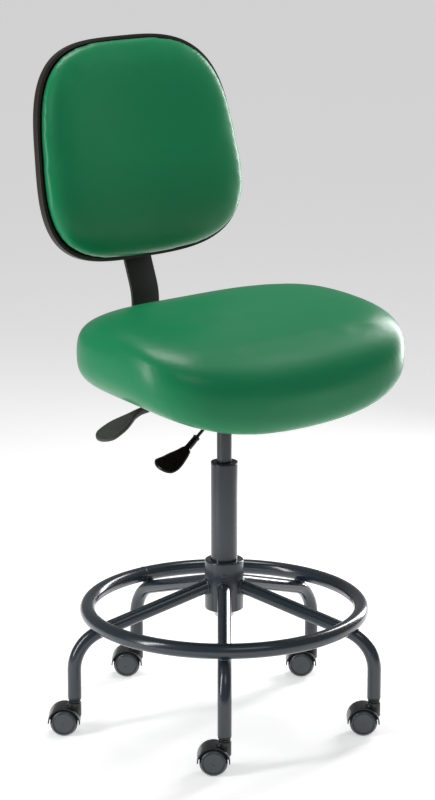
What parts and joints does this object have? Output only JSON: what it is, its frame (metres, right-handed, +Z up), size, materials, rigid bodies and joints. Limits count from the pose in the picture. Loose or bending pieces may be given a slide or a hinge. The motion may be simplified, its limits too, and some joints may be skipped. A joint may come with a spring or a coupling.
{
  "type": "drafting chair",
  "caption": "Tall swivel chair with a padded seat and back, hand levers, gas lift, round foot ring and a tube base on twin-wheel castors.",
  "frame": {"origin": "on the floor, under the middle of the chair's bounding box", "axes": "+Z up, the chair faces -Y and the sitter's right hand is at -X"},
  "size_m": [0.6392, 0.6288, 1.2841],
  "materials": {
    "powder_coat": "dark blue-grey powder coat, satin gloss",
    "lift_steel": "dark grey coated steel, satin",
    "bush_plastic": "black moulded plastic",
    "zinc": "bright zinc plate",
    "black_steel": "black powder coat on steel, fine texture",
    "gloss_black": "gloss black moulded plastic",
    "grey_plastic": "dark grey moulded plastic",
    "castor_plastic": "black moulded nylon, satin",
    "castor_wheel": "dark grey nylon wheel",
    "shell_plastic": "dark brown-black moulded plastic",
    "green_vinyl": "green coated upholstery vinyl, soft sheen",
    "plywood": "birch plywood"
  },
  "bodies": {
    "base": {"hub": "powder_coat", "leg_1": "powder_coat", "leg_2": "powder_coat", "leg_3": "powder_coat", "leg_4": "powder_coat", "leg_5": "powder_coat", "foot_ring": "powder_coat", "column_tube": "powder_coat", "column_bush": "bush_plastic", "retaining_clip": "zinc", "thrust_bearing": "zinc", "castor_1_stem": "castor_plastic", "castor_2_stem": "castor_plastic", "castor_3_stem": "castor_plastic", "castor_4_stem": "castor_plastic", "castor_5_stem": "castor_plastic"},
    "rod": {"piston_rod": "zinc"},
    "control": {"gas_cylinder": "lift_steel", "control_housing": "black_steel", "tilt_pin_left": "zinc", "tilt_pin_right": "zinc", "back_pivot_pin": "zinc"},
    "valve": {"valve_pin": "zinc"},
    "height_lever": {"height_lever_rod": "zinc", "height_lever_paddle": "gloss_black"},
    "tilt_lever": {"tilt_lever_rod": "black_steel", "tilt_lever_paddle": "grey_plastic"},
    "seat": {"seat_plate": "black_steel", "seat_board": "plywood", "seat_cushion": "green_vinyl", "seat_bolt_1": "zinc", "seat_bolt_2": "zinc", "seat_bolt_3": "zinc", "seat_bolt_4": "zinc"},
    "back_arm": {"back_yoke": "black_steel", "j_bar": "black_steel"},
    "backrest": {"back_shell": "shell_plastic", "back_board": "plywood", "back_cushion": "green_vinyl", "back_bracket": "shell_plastic"},
    "castor_1": {"castor_1_housing": "castor_plastic", "castor_1_axle": "zinc"},
    "castor_1_wheel_left": {"castor_1_wheel_left": "castor_wheel"},
    "castor_1_wheel_right": {"castor_1_wheel_right": "castor_wheel"},
    "castor_2": {"castor_2_housing": "castor_plastic", "castor_2_axle": "zinc"},
    "castor_2_wheel_left": {"castor_2_wheel_left": "castor_wheel"},
    "castor_2_wheel_right": {"castor_2_wheel_right": "castor_wheel"},
    "castor_3": {"castor_3_housing": "castor_plastic", "castor_3_axle": "zinc"},
    "castor_3_wheel_left": {"castor_3_wheel_left": "castor_wheel"},
    "castor_3_wheel_right": {"castor_3_wheel_right": "castor_wheel"},
    "castor_4": {"castor_4_housing": "castor_plastic", "castor_4_axle": "zinc"},
    "castor_4_wheel_left": {"castor_4_wheel_left": "castor_wheel"},
    "castor_4_wheel_right": {"castor_4_wheel_right": "castor_wheel"},
    "castor_5": {"castor_5_housing": "castor_plastic", "castor_5_axle": "zinc"},
    "castor_5_wheel_left": {"castor_5_wheel_left": "castor_wheel"},
    "castor_5_wheel_right": {"castor_5_wheel_right": "castor_wheel"}
  },
  "joints": [
    {"name": "seat_swivel", "type": "hinge", "parent": "base", "child": "rod", "pos_m": [0.00525, -0.0325, 0.3], "axis": [0, 0, 1], "continuous": true},
    {"name": "seat_height", "type": "slide", "parent": "rod", "child": "control", "axis": [0, 0, 1], "range_m": [-0.093, 0.1]},
    {"name": "height_lever_lift", "type": "hinge", "parent": "control", "child": "height_lever", "pos_m": [-0.04825, -0.0865, 0.6271], "axis": [0, 1, 0], "range_deg": [0, 4], "stiffness_Nm_per_rad": 2, "springref_deg": -5.73},
    {"name": "valve_press", "type": "slide", "parent": "control", "child": "valve", "axis": [0, 0, 1], "range_m": [-0.004, 0], "stiffness_N_per_m": 200, "springref_m": 0.001},
    {"name": "tilt_lever_lift", "type": "hinge", "parent": "control", "child": "tilt_lever", "pos_m": [-0.04825, 0.0175, 0.6271], "axis": [0, 1, 0], "range_deg": [0, 9]},
    {"name": "seat_tilt", "type": "hinge", "parent": "control", "child": "seat", "pos_m": [0.00525, -0.0675, 0.6285], "axis": [1, 0, 0], "range_deg": [-5, 4]},
    {"name": "back_angle", "type": "hinge", "parent": "control", "child": "back_arm", "pos_m": [0.00525, 0.0525, 0.6235], "axis": [1, 0, 0], "range_deg": [-12, 8]},
    {"name": "back_height", "type": "slide", "parent": "back_arm", "child": "backrest", "axis": [0, 0.342, 0.9397], "range_m": [-0.025, 0.05]},
    {"name": "castor_1_swivel", "type": "hinge", "parent": "base", "child": "castor_1", "pos_m": [0.03635, 0.26337, 0.062], "axis": [0, 0, 1], "continuous": true},
    {"name": "castor_1_wheel_left_spin", "type": "hinge", "parent": "castor_1", "child": "castor_1_wheel_left", "pos_m": [0.02148, 0.27675, 0.026], "axis": [-0.6691, -0.7431, 0], "continuous": true},
    {"name": "castor_1_wheel_right_spin", "type": "hinge", "parent": "castor_1", "child": "castor_1_wheel_right", "pos_m": [0.02148, 0.27675, 0.026], "axis": [-0.6691, -0.7431, 0], "continuous": true},
    {"name": "castor_2_swivel", "type": "hinge", "parent": "base", "child": "castor_2", "pos_m": [-0.26653, 0.0885, 0.062], "axis": [0, 0, 1], "continuous": true},
    {"name": "castor_2_wheel_left_spin", "type": "hinge", "parent": "castor_2", "child": "castor_2_wheel_left", "pos_m": [-0.28139, 0.10189, 0.026], "axis": [-0.6691, -0.7431, 0], "continuous": true},
    {"name": "castor_2_wheel_right_spin", "type": "hinge", "parent": "castor_2", "child": "castor_2_wheel_right", "pos_m": [-0.28139, 0.10189, 0.026], "axis": [-0.6691, -0.7431, 0], "continuous": true},
    {"name": "castor_3_swivel", "type": "hinge", "parent": "base", "child": "castor_3", "pos_m": [-0.19382, -0.25359, 0.062], "axis": [0, 0, 1], "continuous": true},
    {"name": "castor_3_wheel_left_spin", "type": "hinge", "parent": "castor_3", "child": "castor_3_wheel_left", "pos_m": [-0.20868, -0.2402, 0.026], "axis": [-0.6691, -0.7431, 0], "continuous": true},
    {"name": "castor_3_wheel_right_spin", "type": "hinge", "parent": "castor_3", "child": "castor_3_wheel_right", "pos_m": [-0.20868, -0.2402, 0.026], "axis": [-0.6691, -0.7431, 0], "continuous": true},
    {"name": "castor_4_swivel", "type": "hinge", "parent": "base", "child": "castor_4", "pos_m": [0.154, -0.29014, 0.062], "axis": [0, 0, 1], "continuous": true},
    {"name": "castor_4_wheel_left_spin", "type": "hinge", "parent": "castor_4", "child": "castor_4_wheel_left", "pos_m": [0.13914, -0.27676, 0.026], "axis": [-0.6691, -0.7431, 0], "continuous": true},
    {"name": "castor_4_wheel_right_spin", "type": "hinge", "parent": "castor_4", "child": "castor_4_wheel_right", "pos_m": [0.13914, -0.27676, 0.026], "axis": [-0.6691, -0.7431, 0], "continuous": true},
    {"name": "castor_5_swivel", "type": "hinge", "parent": "base", "child": "castor_5", "pos_m": [0.29625, 0.02935, 0.062], "axis": [0, 0, 1], "continuous": true},
    {"name": "castor_5_wheel_left_spin", "type": "hinge", "parent": "castor_5", "child": "castor_5_wheel_left", "pos_m": [0.28139, 0.04274, 0.026], "axis": [-0.6691, -0.7431, 0], "continuous": true},
    {"name": "castor_5_wheel_right_spin", "type": "hinge", "parent": "castor_5", "child": "castor_5_wheel_right", "pos_m": [0.28139, 0.04274, 0.026], "axis": [-0.6691, -0.7431, 0], "continuous": true}
  ],
  "couplings": [
    {"joint": "valve_press", "follows": "height_lever_lift", "m_per_rad": -0.0535}
  ]
}
